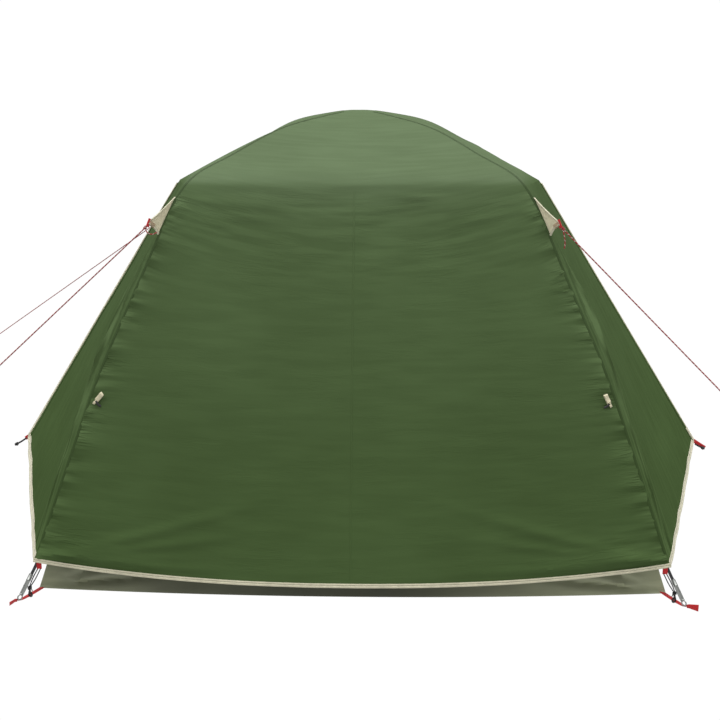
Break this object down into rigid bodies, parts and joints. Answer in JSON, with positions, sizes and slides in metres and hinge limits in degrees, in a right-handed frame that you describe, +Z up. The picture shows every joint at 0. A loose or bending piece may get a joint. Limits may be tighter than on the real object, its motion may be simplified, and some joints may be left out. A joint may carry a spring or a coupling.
{
  "type": "dome tent",
  "caption": "Pitched four-person dome tent with two crossing poles, a brow pole, a full rainfly, two side vestibules with zipped doors and pegged guy lines.",
  "frame": {"origin": "on the ground under the apex", "axes": "+X from the left vestibule tip to the right one, +Y from the front end wall to the back one, +Z up"},
  "size_m": [4.0979, 2.606, 1.4502],
  "materials": {
    "fly_green": "matte polyester taffeta with a water-repellent coating",
    "roof_green": "matte polyester taffeta with a water-repellent coating",
    "inner_beige": "breathable polyester",
    "floor_grey": "heavy polyethylene groundsheet",
    "red_webbing": "woven polypropylene tape",
    "guy_cord": "braided cord with a light fleck",
    "tape_beige": "woven binding tape",
    "pole_black": "pultruded fibreglass rod",
    "black_plastic": "moulded acetal",
    "black_elastic": "braided shock cord",
    "steel": "bright zinc-plated tube and wire"
  },
  "bodies": {
    "tent": {"main_pole_roof_1": "pole_black", "main_pole_roof_2": "pole_black", "main_pole_leg_front_left": "pole_black", "knee_elbow_front_left": "steel", "pole_foot_front_left": "steel", "main_pole_leg_front_right": "pole_black", "knee_elbow_front_right": "steel", "pole_foot_front_right": "steel", "main_pole_leg_back_left": "pole_black", "knee_elbow_back_left": "steel", "pole_foot_back_left": "steel", "main_pole_leg_back_right": "pole_black", "knee_elbow_back_right": "steel", "pole_foot_back_right": "steel", "brow_pole": "pole_black", "apex_clip": "black_plastic", "fly_roof_front": "roof_green", "fly_wall_front": "fly_green", "fly_roof_back": "roof_green", "fly_wall_back": "fly_green", "fly_side_left": "roof_green", "vestibule_gore_left": "fly_green", "tip_loop_left": "black_elastic", "fly_side_right": "roof_green", "vestibule_gore_right": "fly_green", "tip_loop_right": "black_elastic", "floor_tray": "floor_grey", "inner_wall_front": "inner_beige", "inner_wall_back": "inner_beige", "inner_wall_left": "inner_beige", "inner_wall_right": "inner_beige", "inner_roof": "inner_beige", "corner_strap_front_left": "red_webbing", "corner_hook_front_left": "black_elastic", "guy_tab_front_left": "tape_beige", "peg_front_left": "steel", "guy_line_front_left": "guy_cord", "corner_strap_front_right": "red_webbing", "corner_hook_front_right": "black_elastic", "guy_tab_front_right": "tape_beige", "peg_front_right": "steel", "guy_line_front_right": "guy_cord", "corner_strap_back_left": "red_webbing", "corner_hook_back_left": "black_elastic", "guy_tab_back_left": "tape_beige", "peg_back_left": "steel", "guy_line_back_left": "guy_cord", "corner_strap_back_right": "red_webbing", "corner_hook_back_right": "black_elastic", "guy_tab_back_right": "tape_beige", "peg_back_right": "steel", "guy_line_back_right": "guy_cord"},
    "door_left": {"vestibule_door_left": "fly_green"},
    "door_right": {"vestibule_door_right": "fly_green"},
    "zip_slider_left": {"zip_slider_left": "black_plastic"},
    "zip_slider_right": {"zip_slider_right": "black_plastic"},
    "tensioner_front_left": {"tensioner_front_left": "black_plastic"},
    "tensioner_front_right": {"tensioner_front_right": "black_plastic"},
    "tensioner_back_left": {"tensioner_back_left": "black_plastic"},
    "tensioner_back_right": {"tensioner_back_right": "black_plastic"}
  },
  "joints": [
    {"name": "door_left_fold", "type": "hinge", "parent": "tent", "child": "door_left", "pos_m": [-0.696, 0, 1.184], "axis": [0.1752, 0.7402, 0.6492], "range_deg": [0, 72]},
    {"name": "door_right_fold", "type": "hinge", "parent": "tent", "child": "door_right", "pos_m": [0.696, 0, 1.184], "axis": [0.1752, -0.7402, -0.6492], "range_deg": [0, 72]},
    {"name": "zip_left_slide", "type": "slide", "parent": "tent", "child": "zip_slider_left", "axis": [0.5348, 0, 0.845], "range_m": [0, 1.08]},
    {"name": "zip_right_slide", "type": "slide", "parent": "tent", "child": "zip_slider_right", "axis": [-0.5348, 0, 0.845], "range_m": [0, 1.08]},
    {"name": "tensioner_front_left_slide", "type": "slide", "parent": "tent", "child": "tensioner_front_left", "axis": [0.7246, 0.1663, 0.6688], "range_m": [-0.1, 0.25]},
    {"name": "tensioner_front_right_slide", "type": "slide", "parent": "tent", "child": "tensioner_front_right", "axis": [-0.6807, 0.2738, 0.6795], "range_m": [-0.1, 0.25]},
    {"name": "tensioner_back_left_slide", "type": "slide", "parent": "tent", "child": "tensioner_back_left", "axis": [0.8029, -0.2275, 0.551], "range_m": [-0.1, 0.25]},
    {"name": "tensioner_back_right_slide", "type": "slide", "parent": "tent", "child": "tensioner_back_right", "axis": [-0.5559, -0.3073, 0.7724], "range_m": [-0.1, 0.25]}
  ]
}
